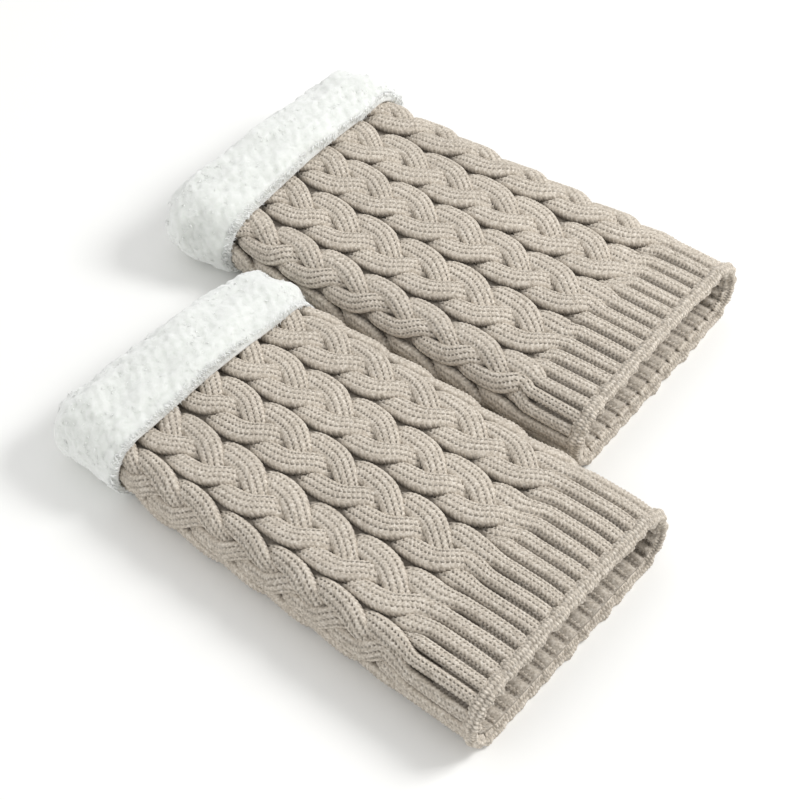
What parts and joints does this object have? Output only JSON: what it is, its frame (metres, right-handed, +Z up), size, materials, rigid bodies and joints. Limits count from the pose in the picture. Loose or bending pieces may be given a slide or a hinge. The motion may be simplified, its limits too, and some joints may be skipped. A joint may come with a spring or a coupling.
{
  "type": "pair of knitted boot cuffs",
  "caption": "Cable-knit boot cuffs with plush turned over the top and a ribbed hem, laid flat side by side.",
  "frame": {"origin": "bottom centre of the pair's box, on the surface that both cuffs lie on", "axes": "+X along the near cuff from its plush turnover to its hem, +Y across from the near cuff to the far cuff, +Z up"},
  "size_m": [0.2744, 0.2528, 0.043],
  "materials": {
    "knit": "bulky wool-blend knit, soft and matt, with cables and ribs",
    "plush": "short curly sherpa plush, matt, off-white"
  },
  "bodies": {
    "root": {"near_cable_leg": "knit", "near_rib_welt": "knit", "near_plush_turnover": "plush", "far_cable_leg": "knit", "far_rib_welt": "knit", "far_plush_turnover": "plush"}
  },
  "joints": []
}
